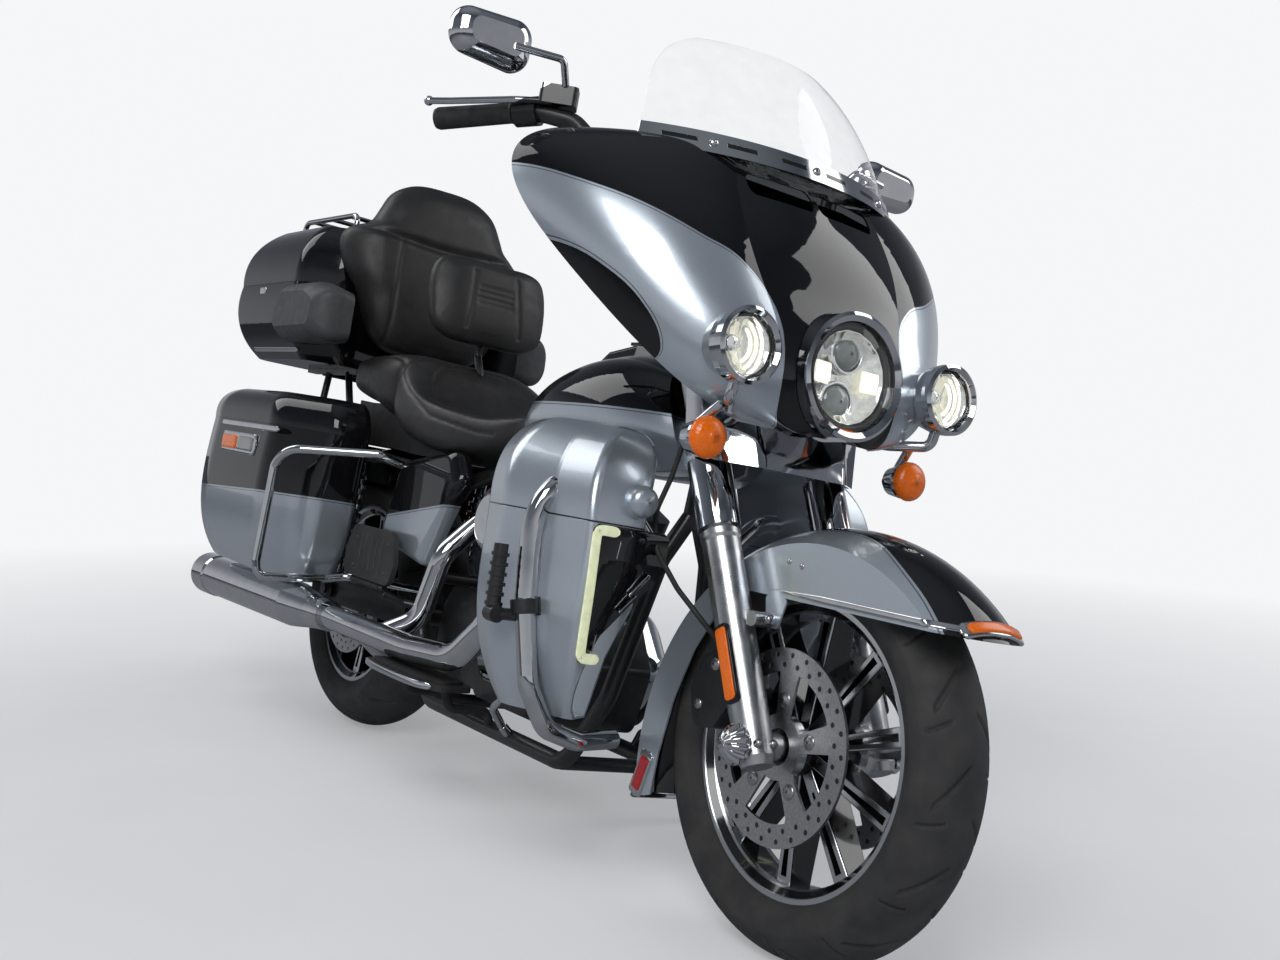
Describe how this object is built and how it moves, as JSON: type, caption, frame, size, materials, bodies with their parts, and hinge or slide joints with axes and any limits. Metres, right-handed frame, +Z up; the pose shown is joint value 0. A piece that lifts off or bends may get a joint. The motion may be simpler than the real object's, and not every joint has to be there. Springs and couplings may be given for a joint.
{
  "type": "touring cruiser motorcycle",
  "caption": "Touring motorcycle with a fork-mounted fairing, hard side bags and a top box, leaning on its side stand; wheels, steering, stand, lids and boards move.",
  "frame": {"origin": "on the floor under the middle of the motorcycle's bounding box", "axes": "+Z up, -Y to the front wheel, +X to the rider's left, the side it leans to"},
  "size_m": [1.1202, 2.603, 1.5002],
  "materials": {
    "aluminium": "brushed",
    "black_metal": "satin",
    "black_paint": "gloss",
    "black_plastic": "satin",
    "chrome": "polished",
    "leather": "grained",
    "lens": "clear",
    "rubber": "matte",
    "shield": "clear",
    "silver_paint": "metallic gloss",
    "steel": "machined",
    "tyre": "moulded"
  },
  "bodies": {
    "chassis": {"air_cleaner": "chrome", "bag_guards": "chrome", "engine_covers": "chrome", "engine_crankcase": "black_metal", "engine_cylinders": "black_metal", "engine_guard": "chrome", "exhaust_pipes": "chrome", "foot_controls": "chrome", "frame_tubes": "black_metal", "fuel_tank": "silver_paint", "highway_pegs": "black_metal", "lower_fairings": "silver_paint", "lower_grilles": "black_plastic", "mufflers": "chrome", "pillion_backrest": "leather", "rear_fender": "black_paint", "rear_lamps": "lens", "rider_backrest": "leather", "rider_boards": "rubber", "seat": "leather", "seat_pan": "black_plastic", "shock_absorbers": "chrome", "side_bags": "silver_paint", "side_covers": "black_paint", "speaker_pods": "black_plastic", "swingarm": "black_metal", "tank_console": "black_paint", "top_box": "black_paint", "top_box_carrier": "black_metal"},
    "steering": {"fork_legs": "aluminium", "fork_yokes": "black_metal", "fork_shroud": "chrome", "front_fender": "silver_paint", "brake_calipers": "black_metal", "lamp_housings": "chrome", "lamp_lenses": "lens", "fairing_outer": "silver_paint", "fairing_inner": "black_plastic", "windshield": "shield", "windshield_trim": "chrome", "handlebar": "black_metal", "grips": "rubber", "hand_controls": "chrome", "mirrors": "chrome", "brake_hose": "rubber"},
    "front_wheel": {"front_tyre": "tyre", "front_rim": "black_metal", "front_discs": "steel"},
    "rear_wheel": {"rear_tyre": "tyre", "rear_rim": "black_metal", "rear_disc_and_sprocket": "steel"},
    "side_stand": {"side_stand": "black_metal"},
    "top_box_lid": {"top_box_lid": "black_paint", "luggage_rack": "chrome"},
    "bag_lid_left": {"bag_lid_left": "black_paint"},
    "bag_lid_right": {"bag_lid_right": "black_paint"},
    "fuel_door": {"fuel_door": "black_paint"},
    "pillion_board_left": {"pillion_board_left": "rubber"},
    "pillion_board_right": {"pillion_board_right": "rubber"}
  },
  "joints": [
    {"name": "steering", "type": "hinge", "parent": "chassis", "child": "steering", "pos_m": [-0.06721, -0.70888, 0.88745], "axis": [0.1496, 0.4384, 0.8863], "range_deg": [-30, 30]},
    {"name": "front_wheel_spin", "type": "hinge", "parent": "steering", "child": "front_wheel", "pos_m": [-0.16357, -0.97484, 0.31651], "axis": [0.9861, 0, -0.1664], "continuous": true},
    {"name": "rear_wheel_spin", "type": "hinge", "parent": "chassis", "child": "rear_wheel", "pos_m": [-0.1635, 0.65016, 0.31693], "axis": [0.9861, 0, -0.1664], "continuous": true},
    {"name": "side_stand_fold", "type": "hinge", "parent": "chassis", "child": "side_stand", "pos_m": [-0.04207, -0.33484, 0.15911], "axis": [0.69, -0.0177, 0.7236], "range_deg": [0, 95]},
    {"name": "top_box_lid_lift", "type": "hinge", "parent": "chassis", "child": "top_box_lid", "pos_m": [0.26116, 1.03516, 0.99429], "axis": [0, 1, 0], "range_deg": [0, 75]},
    {"name": "bag_lid_left_lift", "type": "hinge", "parent": "chassis", "child": "bag_lid_left", "pos_m": [0.28504, 0.78016, 0.61908], "axis": [0, 1, 0], "range_deg": [0, 80]},
    {"name": "bag_lid_right_lift", "type": "hinge", "parent": "chassis", "child": "bag_lid_right", "pos_m": [-0.48802, 0.78016, 0.74956], "axis": [0, -1, 0], "range_deg": [0, 80]},
    {"name": "fuel_door_lift", "type": "hinge", "parent": "chassis", "child": "fuel_door", "pos_m": [-0.0583, -0.40184, 0.9402], "axis": [0.9861, 0, -0.1664], "range_deg": [0, 95]},
    {"name": "pillion_board_left_fold", "type": "hinge", "parent": "chassis", "child": "pillion_board_left", "pos_m": [0.04674, 0.32016, 0.33681], "axis": [0, 1, 0], "range_deg": [0, 85]},
    {"name": "pillion_board_right_fold", "type": "hinge", "parent": "chassis", "child": "pillion_board_right", "pos_m": [-0.35557, 0.32016, 0.40471], "axis": [0, -1, 0], "range_deg": [0, 85]}
  ]
}
